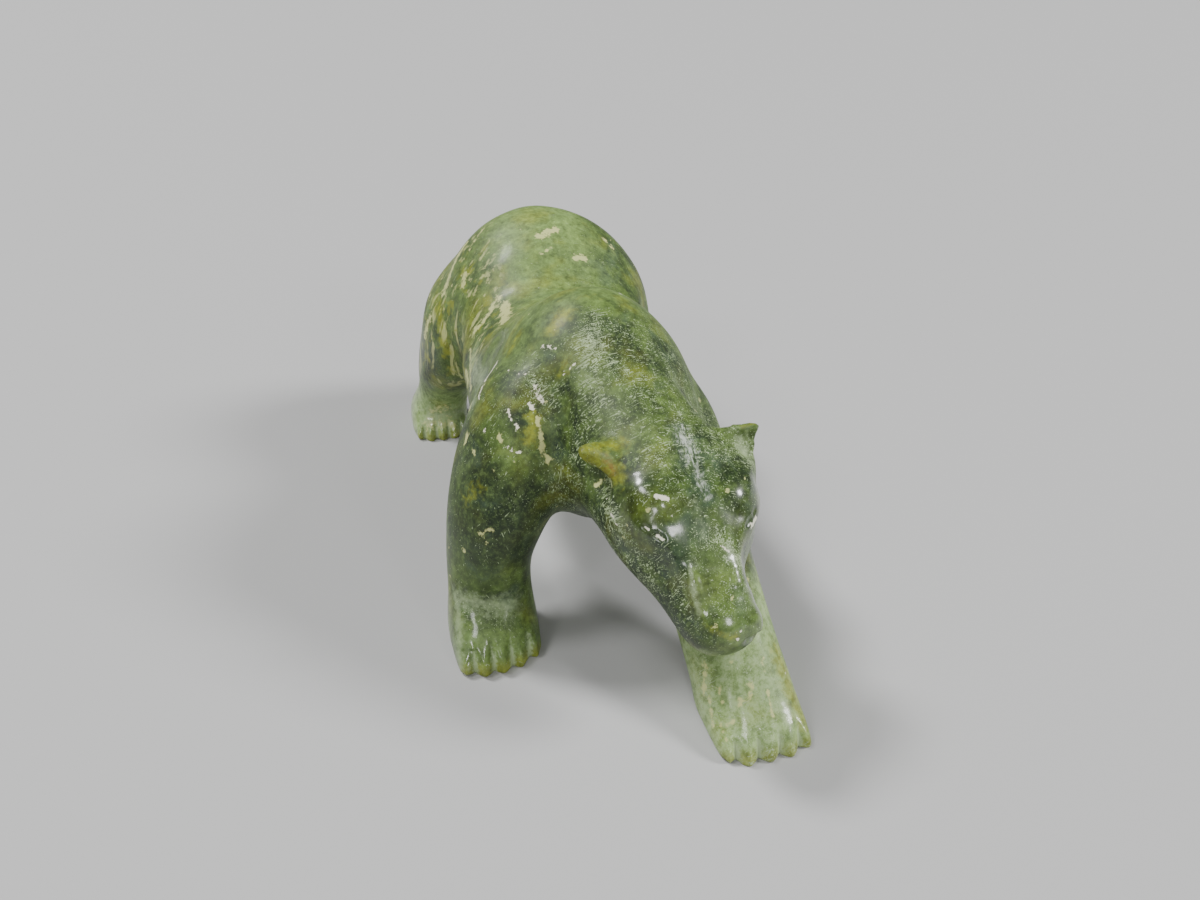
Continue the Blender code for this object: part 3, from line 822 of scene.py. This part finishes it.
def shrink(tree, vector, size):
    """The vector divided by a size, which may be a socket."""
    sizes = add_node(tree, "CombineXYZ", {0: size, 1: size, 2: size}).outputs[0]
    return vector_node(tree, "DIVIDE", {0: vector, 1: sizes})


def stretched(tree, vector, turn, scale=(1, 1, 1)):
    inputs = {"Vector": vector, "Rotation": turn, "Scale": scale}
    return add_node(tree, "Mapping", inputs, vector_type="POINT").outputs[0]


def attribute(tree, name):
    return add_node(tree, "Attribute", attribute_name=name).outputs["Fac"]


def in_millimetres(tree):
    place = add_node(tree, "TexCoord").outputs["Object"]
    return vector_node(tree, "SCALE", {0: place, "Scale": 1 / MM})


def new_group(name, numbers, output, kind="NodeSocketFloat"):
    """An empty group with its sockets, and its input and output nodes. The first input is a vector
    and the others are numbers with their defaults."""
    tree = bpy.data.node_groups.new(name, "ShaderNodeTree")
    tree.interface.new_socket(name="Vector", in_out="INPUT", socket_type="NodeSocketVector")
    for socket, default in numbers.items():
        made = tree.interface.new_socket(name=socket, in_out="INPUT", socket_type="NodeSocketFloat")
        made.default_value = default
    tree.interface.new_socket(name=output, in_out="OUTPUT", socket_type=kind)
    return tree, tree.nodes.new("NodeGroupInput").outputs, tree.nodes.new("NodeGroupOutput").inputs


def around_axis():
    """Places measured around the Y axis, as (around, along, outwards)."""
    tree, given, out = new_group("around_axis", {"Radius": 20.0}, "Place", "NodeSocketVector")
    axes = add_node(tree, "SeparateXYZ", {0: given["Vector"]}).outputs
    angle = math_node(tree, "ARCTAN2", axes["X"], axes["Z"])
    squares = plus(tree, times(tree, axes["X"], axes["X"]), times(tree, axes["Z"], axes["Z"]))
    far = math_node(tree, "POWER", squares, 0.5)
    parts = {0: times(tree, angle, given["Radius"]), 1: axes["Y"], 2: far}
    tree.links.new(add_node(tree, "CombineXYZ", parts).outputs[0], out["Place"])
    return tree


def wander():
    """Places shifted by a slow noise, so that straight strokes and bands bend."""
    numbers = {"Size": 6.0, "Shift": 2.0}
    tree, given, out = new_group("wander", numbers, "Place", "NodeSocketVector")
    place = shrink(tree, given["Vector"], given["Size"])
    slow = add_node(tree, "TexNoise", {"Vector": place, "Scale": 1.0, "Detail": 1.0})
    shift = vector_node(tree, "SCALE", {0: slow.outputs["Color"], "Scale": given["Shift"]})
    tree.links.new(vector_node(tree, "ADD", {0: given["Vector"], 1: shift}), out["Place"])
    return tree


def short_strokes():
    """Short strokes along X. Cover runs from 0, almost none, to 1, half of the surface."""
    numbers = {"Width": 0.4, "Length": 2.0, "Cover": 0.5}
    tree, given, out = new_group("short_strokes", numbers, "Mask")
    wide = times(tree, given["Width"], WAVE)
    sizes = add_node(tree, "CombineXYZ", {0: times(tree, given["Length"], WAVE), 1: wide, 2: wide})
    place = vector_node(tree, "DIVIDE", {0: given["Vector"], 1: sizes.outputs[0]})
    grain = noise_node(tree, place, 1.0, detail=1.0)
    least = minus(tree, 0.8, times(tree, given["Cover"], 0.3))
    tree.links.new(ramp(tree, minus(tree, grain, least), -0.01, 0.04), out["Mask"])
    return tree


def strewn_flakes():
    """Small ragged flakes strewn at random, in a share of the cells."""
    numbers = {"Spacing": 4.0, "Radius": 0.6, "Share": 0.4}
    tree, given, out = new_group("strewn_flakes", numbers, "Mask")
    place = shrink(tree, given["Vector"], given["Spacing"])
    cells = add_node(tree, "TexVoronoi", {"Vector": place, "Scale": 1.0})
    dice = add_node(tree, "SeparateColor", {0: cells.outputs["Color"]}).outputs
    far = times(tree, cells.outputs["Distance"], given["Spacing"])
    size = times(tree, given["Radius"], plus(tree, dice[1], 0.5))
    near = minus(tree, 1.0, math_node(tree, "DIVIDE", far, size))
    rough = noise_node(tree, given["Vector"], 0.7, detail=3.0, roughness=0.6)
    ragged = times(tree, minus(tree, rough, 0.5), 4.0)
    mask = times(tree, ramp(tree, plus(tree, near, ragged), 0.1, 0.3), ramp(tree, near, -0.6, -0.3))
    chosen = math_node(tree, "LESS_THAN", dice[0], given["Share"])
    tree.links.new(times(tree, mask, chosen), out["Mask"])
    return tree


def ragged_mark():
    """A painted field turned into a patch with a ragged edge, from 0 outside to 1 inside."""
    numbers = {"Field": 0.0, "Grain": 1.5, "Raggedness": 0.5, "Softness": 0.2}
    tree, given, out = new_group("ragged_mark", numbers, "Mask")
    place = shrink(tree, given["Vector"], given["Grain"])
    rough = noise_node(tree, place, 1.0, detail=3.0, roughness=0.6)
    shift = times(tree, times(tree, minus(tree, rough, 0.5), 3.0), given["Raggedness"])
    edge = minus(tree, plus(tree, given["Field"], shift), MARK_EDGE)
    mask = ramp(tree, math_node(tree, "DIVIDE", edge, given["Softness"]), 0.0, 1.0)
    tree.links.new(times(tree, mask, ramp(tree, given["Field"], 0.0, 0.1)), out["Mask"])
    return tree


# ---------------------------------------------------------------- the stone

FIELDS = ("chatter", "polish", "pale", "blotched_and_lit", "painted_shade", "even", "tips", "worn", "flank")

# How thickly each layer covers what is below it, where the layer is at its fullest.
COVER = {
    "cool clouds": 0.7,
    "wisps": 0.4,
    "pale regions": 0.85,
    "warm clouds": 0.5,
    "olive marks": 0.9,
    "toe tips": 0.8,
    "dark and shade marks": 0.85,
    "ground of the vein": 0.4,
    "grains": 0.4,
    "thin streaks": 0.62,
    "thick streaks": 0.7,
    "dust and painted light on blotches": 0.1,
    "blotches": 0.64,
    "cream marks": 0.9,
    "cream flakes": 0.7,
    "fibres": 0.85,
    "worn gaps": 0.75,
    "ashy and highlight marks": 0.62,
}
SHADES = (0.45, 1.5)  # the darkest and the lightest of the mottling
PLAIN_SHADE = 1.08  # its brightness where nothing dims it,
# Part of what the chatter takes is painted shade on the neck, the head and the front, and part of what the
# blotches add is painted light on the reaching leg and the hind paws.
CHATTER_AND_PAINTED_SHADE_DIMS = 0.42  # what the chatter takes from that
BLOTCHES_LIFT_AND_PAINTED_LIGHT = 0.5  # and what the blotches add
FAINTEST = 0.45  # how strongly the faintest chatter strokes show

# The roughness, what the polish takes from it and what the rest add. A noise smudges it.
ROUGHNESS = 0.55
POLISH_SMOOTHS = 0.28
SMUDGES = 0.3
CHATTER_ROUGHENS = 0.12
CHIPS_ROUGHEN = 0.3
POLISH_COAT = 0.9  # the clear coat that the fullest polish gives

# How far the surface's grain stands up, and how far the chatter and the chips go in.
RELIEF = 0.06
GRAIN_HEIGHT = 0.35
CHATTER_DEPTH = 0.8
CHIP_DEPTH = 1.5


class Stone:
    """The stone's node tree, with the place, painted fields and groups that its layers use."""

    def __init__(self, tree, colors):
        self.tree = tree
        self.colors = colors
        self.place = in_millimetres(tree)
        self.painted = {name: attribute(tree, name) for name in (*KINDS, *FIELDS)}
        self.around, self.bend, self.strokes = around_axis(), wander(), short_strokes()
        self.flakes, self.ragged = strewn_flakes(), ragged_mark()

    def use(self, group, vector, **numbers):
        """The output of a group, given a vector and its numbers in lower case."""
        made = add_node(self.tree, "Group", node_tree=group)
        named = {name.capitalize(): value for name, value in numbers.items()}
        set_inputs(self.tree, made, {"Vector": vector} | named)
        return made.outputs[0]

    def mark(self, kind, **numbers):
        return self.use(self.ragged, self.place, field=self.painted[kind], **numbers)

    def flake(self, **numbers):
        return self.use(self.flakes, self.place, **numbers)

    def bent(self, vector, **numbers):
        return self.use(self.bend, vector, **numbers)

    def lay(self, color, name, amount):
        """One of the stone's colours laid over what is there."""
        return mix_color(self.tree, amount, color, (*getattr(self.colors, name), 1))


def lay_clouds(stone):
    """The body of the stone: dark and mid green clouds, cool and ashy in places, and darker where shade is
    painted.
    """
    tree, place, painted = stone.tree, stone.place, stone.painted
    clouds = noise_node(tree, place, 12, detail=5, roughness=0.62, distortion=0.5)
    calm = times(tree, minus(tree, 0.51, clouds), times(tree, painted["even"], 0.65))
    clouds = minus(tree, plus(tree, clouds, calm), times(tree, painted["painted_shade"], 0.07))
    color = stone.lay((*stone.colors.dark_and_shade, 1), "green", ramp(tree, clouds, 0.38, 0.6))
    slanted = stretched(tree, place, (0.8, 0.2, 0.4), (1, 0.6, 1))
    cool = noise_node(tree, slanted, 9, detail=4, roughness=0.6)
    color = stone.lay(color, "blue", times(tree, ramp(tree, cool, 0.5, 0.68), COVER["cool clouds"]))
    flattened = stretched(tree, place, (0.3, 0.5, 0.2), (1, 1, 0.5))
    wisps = ramp(tree, noise_node(tree, flattened, 7, detail=5, roughness=0.65), 0.5, 0.75)
    wisps = times(tree, wisps, COVER["wisps"])
    pale = times(tree, painted["pale"], COVER["pale regions"])
    return stone.lay(color, "pale", plus(tree, wisps, pale, clamp=True))


def lay_patches(stone, color):
    """Yellow patches and edges, the rusty spot, dark marks, most of them painted shade in hollows, creases
    and under the nose, and the bluish ground of the vein.
    """
    tree, place, painted = stone.tree, stone.place, stone.painted
    warm = ramp(tree, noise_node(tree, place, 15, detail=3, roughness=0.55), 0.48, 0.7)
    plain = plus(tree, times(tree, painted["polish"], 0.7), times(tree, painted["even"], 0.7), clamp=True)
    yellow = times(tree, times(tree, warm, COVER["warm clouds"]), minus(tree, 1.0, plain))
    patches = stone.mark("olive", grain=2.0, raggedness=0.35, softness=0.6)
    yellow = larger(tree, yellow, times(tree, patches, COVER["olive marks"]))
    # The toe tips' yellow is partly a painted glow of light through their thin stone.
    tips = ramp(tree, painted["tips"], 0.25, 0.8)
    yellow = larger(tree, yellow, times(tree, tips, COVER["toe tips"]))
    color = stone.lay(color, "olive", yellow)
    color = stone.lay(color, "rust", stone.mark("rust", grain=1.5, raggedness=0.3, softness=0.8))
    # Dark marks, most of them painted shade in hollows, creases and under the nose.
    dark_and_shade = stone.mark("dark_and_shade", grain=2.0, raggedness=0.3, softness=0.9)
    color = stone.lay(color, "dark_and_shade", times(tree, dark_and_shade, COVER["dark and shade marks"]))
    vein = ramp(tree, painted["vein"], 0.0, 0.5)
    return stone.lay(color, "blue", times(tree, vein, COVER["ground of the vein"]))


def mottle(stone, color, blotched_and_lit):
    """Fine grains and mottling, darker where the chatter then goes over it, which is partly painted shade
    on the neck, the head and the front, and lighter on the blotched reaching leg and hind paws, partly as
    painted light.
    """
    tree, place, painted = stone.tree, stone.place, stone.painted
    grains = ramp(tree, noise_node(tree, place, 1.1, detail=3, roughness=0.7), 0.5, 0.62)
    ground = minus(tree, plus(tree, painted["chatter"], 0.2), times(tree, painted["polish"], 0.4))
    color = stone.lay(color, "pale", times(tree, times(tree, grains, COVER["grains"]), ground))
    shade = moved(tree, noise_node(tree, place, 2.6, detail=5, roughness=0.75), 0.3, 0.7, *SHADES)
    dimmed = minus(tree, PLAIN_SHADE, times(tree, painted["chatter"], CHATTER_AND_PAINTED_SHADE_DIMS))
    shade = times(tree, shade, plus(tree, dimmed, times(tree, blotched_and_lit, BLOTCHES_LIFT_AND_PAINTED_LIGHT)))
    return mix_color(tree, 1.0, color, shade, "MULTIPLY")


def lay_minerals(stone, color, blotched_and_lit):
    """Mineral streaks that run down through the flank, and cream blotches, spots and flakes."""
    tree, place, flank = stone.tree, stone.place, stone.painted["flank"]
    bent = stone.bent(place, size=14.0, shift=9.0)
    bedding = stretched(tree, bent, (0.25, 0.45, 0.1), (0.3, 0.3, 0.06))
    streak = ramp(tree, noise_node(tree, bedding, 1.0, detail=3, roughness=0.6), 0.55, 0.66)
    color = stone.lay(color, "cream", times(tree, streak, times(tree, flank, COVER["thin streaks"])))
    thick = ramp(tree, noise_node(tree, stretched(tree, bent, (1.0, 0.2, 0.5)), 5, detail=3), 0.55, 0.7)
    color = stone.lay(color, "olive", times(tree, thick, times(tree, flank, COVER["thick streaks"])))
    # A pale wash over the blotched reaching leg and hind paws, partly painted light.
    color = stone.lay(color, "dust_and_highlight", times(tree, blotched_and_lit, COVER["dust and painted light on blotches"]))
    blotch = ramp(tree, noise_node(tree, place, 2.6, detail=6, roughness=0.8), 0.42, 0.62)
    color = stone.lay(color, "dust_and_highlight", times(tree, blotch, times(tree, blotched_and_lit, COVER["blotches"])))
    cream = stone.mark("cream", grain=1.6, raggedness=0.6, softness=0.3)
    cream = times(tree, cream, COVER["cream marks"])
    flakes = stone.flake(spacing=5.0, radius=0.5, share=0.4)
    flakes = times(tree, flakes, COVER["cream flakes"])
    return stone.lay(color, "cream", larger(tree, cream, flakes))


def chatter_marks(stone):
    """The chatter of the tool: around the neck, along the head and down the shoulder."""
    tree, place, painted = stone.tree, stone.place, stone.painted
    from_axis = vector_node(tree, "SUBTRACT", {0: place, 1: NECK_MIDDLE})
    turned = stone.bent(stone.use(stone.around, from_axis, radius=NECK_RADIUS), size=9.0, shift=4.0)
    bent = stone.bent(place, size=8.0, shift=4.0)
    patchy = ramp(tree, noise_node(tree, place, 6, detail=4, roughness=0.6), 0.36, 0.6)
    cover = times(tree, painted["chatter"], plus(tree, times(tree, patchy, 0.4), 0.56))
    cover = plus(tree, cover, times(tree, painted["flecks"], 0.36))
    bare = larger(tree, times(tree, painted["olive"], 0.4), times(tree, painted["dark_and_shade"], 0.2))
    cover = minus(tree, cover, bare)
    across = stone.use(stone.strokes, turned, width=0.15, length=1.25, cover=cover)
    along_place = stretched(tree, bent, (0.6, 0.3, 1.4))
    along = stone.use(stone.strokes, along_place, width=0.14, length=1.1, cover=cover)
    slanted_place = stretched(tree, bent, (0.2, 0.9, 0.5))
    slanted = stone.use(stone.strokes, slanted_place, width=0.15, length=1.15, cover=cover)
    return larger(tree, across, larger(tree, along, slanted))


def lay_scratches(stone, color, chatter, white):
    """The chatter, the vein's fibres, the worn gaps between the toes, ashy marks, some of them painted
    highlights and painted light, and white chips.
    """
    tree, place = stone.tree, stone.place
    faint = moved(tree, noise_node(tree, place, 2.0), 0.35, 0.6, FAINTEST, 1.0)
    color = stone.lay(color, "dust_and_highlight", times(tree, chatter, faint))
    drawn_out = stretched(tree, place, (0, 0, -0.25), (1, 0.16, 0.3))
    fibre = ramp(tree, noise_node(tree, drawn_out, 0.7, detail=4, roughness=0.75), 0.42, 0.54)
    fibres = times(tree, stone.mark("vein", grain=1.2, raggedness=0.5, softness=0.6), fibre)
    color = stone.lay(color, "vein", times(tree, fibres, COVER["fibres"]))
    worn = stone.mark("worn", grain=0.8, raggedness=0.3, softness=0.4)
    worn = times(tree, worn, COVER["worn gaps"])
    # Ashy marks: pale dust in places, elsewhere painted highlights on the muzzle's ridge and the right fore
    # paw's outer edge, and painted light on the paws.
    ashy_and_highlight = stone.mark("ashy_and_highlight", grain=1.5, raggedness=0.4, softness=0.8)
    ashy_and_highlight = times(tree, ashy_and_highlight, COVER["ashy and highlight marks"])
    color = stone.lay(color, "dust_and_highlight", larger(tree, worn, ashy_and_highlight))
    return stone.lay(color, "chip", white)


def finish_surface(stone, shader, chatter, white):
    """Dull where the tool has chattered and glossy where the polish took, with a fine grain."""
    tree, place, polish = stone.tree, stone.place, stone.painted["polish"]
    smudge = minus(tree, noise_node(tree, place, 9, detail=4), 0.5)
    rough = minus(tree, ROUGHNESS, times(tree, polish, POLISH_SMOOTHS))
    rough = plus(tree, rough, times(tree, smudge, SMUDGES))
    rough = plus(tree, rough, times(tree, chatter, CHATTER_ROUGHENS))
    rough = plus(tree, rough, times(tree, white, CHIPS_ROUGHEN), clamp=True)
    grain = noise_node(tree, place, 0.9, detail=3)
    height = minus(tree, times(tree, grain, GRAIN_HEIGHT), times(tree, chatter, CHATTER_DEPTH))
    height = minus(tree, height, times(tree, white, CHIP_DEPTH))
    bump = add_node(tree, "Bump", {"Height": height, "Strength": 0.6, "Distance": RELIEF * MM})
    set_inputs(tree, shader, {
        "Roughness": rough,
        "Coat Weight": times(tree, polish, POLISH_COAT),
        "Normal": bump.outputs[0],
        "IOR": 1.55,
        "Specular IOR Level": 0.3,
        "Coat Roughness": 0.13,
    })


def green_soapstone(colors):
    material = bpy.data.materials.new("green_soapstone")
    material.use_nodes = True
    tree = material.node_tree
    shader = tree.nodes["Principled BSDF"]
    stone = Stone(tree, colors)
    yellowed = times(tree, stone.painted["olive"], 0.7)
    blotched_and_lit = minus(tree, stone.painted["blotched_and_lit"], yellowed, clamp=True)
    chatter = chatter_marks(stone)
    chips = stone.mark("white", grain=0.9, raggedness=0.42, softness=0.15)
    white = larger(tree, chips, stone.flake(spacing=7.5, radius=0.45, share=0.25))
    color = mottle(stone, lay_patches(stone, lay_clouds(stone)), blotched_and_lit)
    color = lay_minerals(stone, color, blotched_and_lit)
    color = lay_scratches(stone, color, chatter, white)
    tree.links.new(color, shader.inputs["Base Color"])
    finish_surface(stone, shader, chatter, white)
    return material


# ---------------------------------------------------------------- settings

def color_property(name, description, default):
    return FloatVectorProperty(
        name=name, description=description, subtype="COLOR", default=default, min=0, max=1
    )


class StoneSettings(bpy.types.PropertyGroup):
    """The colours in the stone."""

    # The dark green also paints the dark marks, most of them painted shade in hollows, creases and under
    # the nose.
    dark_and_shade: color_property("Dark green", "The darkest clouds in the stone", (0.02, 0.038, 0.011))
    green: color_property("Green", "The main green of the stone", (0.078, 0.13, 0.024))
    blue: color_property("Blue green", "The cool, ashy green clouds", (0.055, 0.092, 0.052))
    pale: color_property("Pale green", "The milky green of the paws and the rump", (0.225, 0.34, 0.095))
    # The olive also paints the toe tips, partly as a glow of light through their thin stone.
    olive: color_property("Olive", "The yellow of thin edges and patches", (0.24, 0.27, 0.015))
    rust: color_property("Rust", "The orange-brown spot in the ear", (0.27, 0.15, 0.03))
    cream: color_property("Cream", "Cream streaks and spots", (0.6, 0.62, 0.25))
    # The dust colour also paints the ashy marks, some of them painted highlights, and a wash of partly
    # painted light on the blotched legs.
    dust_and_highlight: color_property("Dust", "The pale chatter strokes", (0.4, 0.5, 0.28))
    vein: color_property("Vein", "The bluish fibres on the forehead", (0.5, 0.55, 0.47))
    chip: color_property("Chip", "Bare white chips and cuts", (0.78, 0.76, 0.6))


class CarvingSettings(bpy.types.PropertyGroup):
    """How finely the bear is carved."""

    voxel: FloatProperty(
        name="Net size", description="Side of the net's squares, in millimetres",
        default=1.45, min=0.8, max=3.0,
    )
    smoothing: IntProperty(
        name="Smoothing", description="How many times the facets are rubbed", default=50, min=0, max=200,
    )


class StageSettings(bpy.types.PropertyGroup):
    """The floor and the camera's lens."""

    floor_color: color_property("Floor", "Colour of the studio floor", (0.45, 0.45, 0.45))
    lens: FloatProperty(
        name="Lens", description="Focal length of the camera", default=25.5, min=10, max=200, unit="CAMERA",
    )


# ---------------------------------------------------------------- operators

def carved_mesh(voxel, smoothing):
    """The bear's mesh, from the even net of its solid to the last of the filing."""
    mesh = even_net(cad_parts[NODE], voxel)
    relax(mesh, smoothing)
    carve(mesh, BODY_STROKES)
    hand_work(mesh)
    for paw in PAWS:
        draw_out_toes(mesh, *paw)
    refine(mesh, FINER)
    carve(mesh, HEAD_STROKES + on_both_sides(FACE_STROKES))
    pull(mesh, EAR_PULLS + NOSE_PULLS)
    relax_inside(mesh, FINER, ROUNDS_AFTER_PULLS)
    relax(mesh, ROUNDS_AT_EAR_ROOTS, closeness(read_points(mesh), EAR_ROOTS))
    refine(mesh, FINEST)
    carve(mesh, EAR_STROKES + RIDGE_STROKES + on_both_sides(FINE_STROKES) + NOSE_STROKES)
    for paw in PAWS:
        file_toes(mesh, *paw)
    relax_inside(mesh, FINEST, ROUNDS_AFTER_FILING)
    keep_in_box(mesh)
    mesh.name = "carved_bear"
    mesh.shade_smooth()
    return mesh


class SOAPSTONE_OT_carve_bear(bpy.types.Operator):
    """Carve the bear from its solid and polish it"""

    bl_idname = "soapstone.carve_bear"
    bl_label = "Carve bear"

    def execute(self, context):
        settings = context.scene.soapstone_carving
        mesh = carved_mesh(settings.voxel, settings.smoothing)
        paint_marks(mesh)
        paint_regions(mesh)
        mesh.materials.clear()
        mesh.materials.append(green_soapstone(context.scene.soapstone_stone))
        bear = bpy.data.objects.new("carved_bear", mesh)
        context.scene.collection.objects.link(bear)
        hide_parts(NODE)
        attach(bear, BODY)
        return {"FINISHED"}


def lay_floor(color):
    bpy.ops.mesh.primitive_plane_add(size=FLOOR_SIZE)
    floor = bpy.context.object
    floor.name = "studio_floor"
    material = bpy.data.materials.new("studio_floor")
    material.use_nodes = True
    shader = material.node_tree.nodes["Principled BSDF"]
    set_inputs(material.node_tree, shader, {"Base Color": (*color, 1), "Roughness": 0.8})
    floor.data.materials.append(material)


def place_camera(scene, lens):
    data = bpy.data.cameras.new("camera")
    data.lens = lens
    data.sensor_width = SENSOR_WIDTH
    data.clip_start = NEAREST_SEEN
    camera = bpy.data.objects.new("camera", data)
    camera.location = Vector(CAMERA_PLACE) * MM
    camera.rotation_euler = (math.radians(CAMERA_TILT), 0, math.radians(CAMERA_TURN))
    scene.collection.objects.link(camera)
    scene.camera = camera


def hang_lamps(scene):
    for lamp in LAMPS:
        data = bpy.data.lights.new(lamp.name, "SUN")
        data.angle = math.radians(lamp.softness)
        data.energy = lamp.strength
        light = bpy.data.objects.new(lamp.name, data)
        light.rotation_euler = Vector(lamp.direction).to_track_quat("Z", "Y").to_euler()
        scene.collection.objects.link(light)


def studio_world():
    """Even grey walls, which are seen brighter than they light."""
    world = bpy.data.worlds.new("world")
    world.use_nodes = True
    tree = world.node_tree
    lit = tree.nodes["Background"]
    set_inputs(tree, lit, {"Color": WALL_COLOR, "Strength": WALL_LIGHT})
    seen = add_node(tree, "Background", {"Color": WALL_COLOR, "Strength": 1.0})
    looking = add_node(tree, "LightPath").outputs["Is Camera Ray"]
    both = add_node(tree, "MixShader", {0: looking, 1: lit.outputs[0], 2: seen.outputs[0]})
    tree.links.new(both.outputs[0], tree.nodes["World Output"].inputs["Surface"])
    return world


class SOAPSTONE_OT_set_stage(bpy.types.Operator):
    """Lay the studio floor and set the lights and the camera"""

    bl_idname = "soapstone.set_stage"
    bl_label = "Set stage"

    def execute(self, context):
        settings = context.scene.soapstone_stage
        lay_floor(settings.floor_color)
        place_camera(context.scene, settings.lens)
        hang_lamps(context.scene)
        context.scene.world = studio_world()
        return {"FINISHED"}


class SOAPSTONE_PT_panel(bpy.types.Panel):
    """The carving's settings and its operators in the sidebar"""

    bl_label = "Soapstone bear"
    bl_idname = "SOAPSTONE_PT_panel"
    bl_space_type = "VIEW_3D"
    bl_region_type = "UI"
    bl_category = "Soapstone"

    def draw(self, context):
        scene = context.scene
        for settings in (scene.soapstone_stone, scene.soapstone_carving):
            for name in type(settings).__annotations__:
                self.layout.prop(settings, name)
        self.layout.operator(SOAPSTONE_OT_carve_bear.bl_idname)
        for name in StageSettings.__annotations__:
            self.layout.prop(scene.soapstone_stage, name)
        self.layout.operator(SOAPSTONE_OT_set_stage.bl_idname)


CLASSES = (
    StoneSettings,
    CarvingSettings,
    StageSettings,
    SOAPSTONE_OT_carve_bear,
    SOAPSTONE_OT_set_stage,
    SOAPSTONE_PT_panel,
)


def register():
    for cls in CLASSES:
        bpy.utils.register_class(cls)
    bpy.types.Scene.soapstone_stone = PointerProperty(type=StoneSettings)
    bpy.types.Scene.soapstone_carving = PointerProperty(type=CarvingSettings)
    bpy.types.Scene.soapstone_stage = PointerProperty(type=StageSettings)


def unregister():
    del bpy.types.Scene.soapstone_stage
    del bpy.types.Scene.soapstone_carving
    del bpy.types.Scene.soapstone_stone
    for cls in reversed(CLASSES):
        bpy.utils.unregister_class(cls)


def main():
    register()
    bpy.ops.soapstone.carve_bear()
    bpy.ops.soapstone.set_stage()


if __name__ == "__main__":
    main()
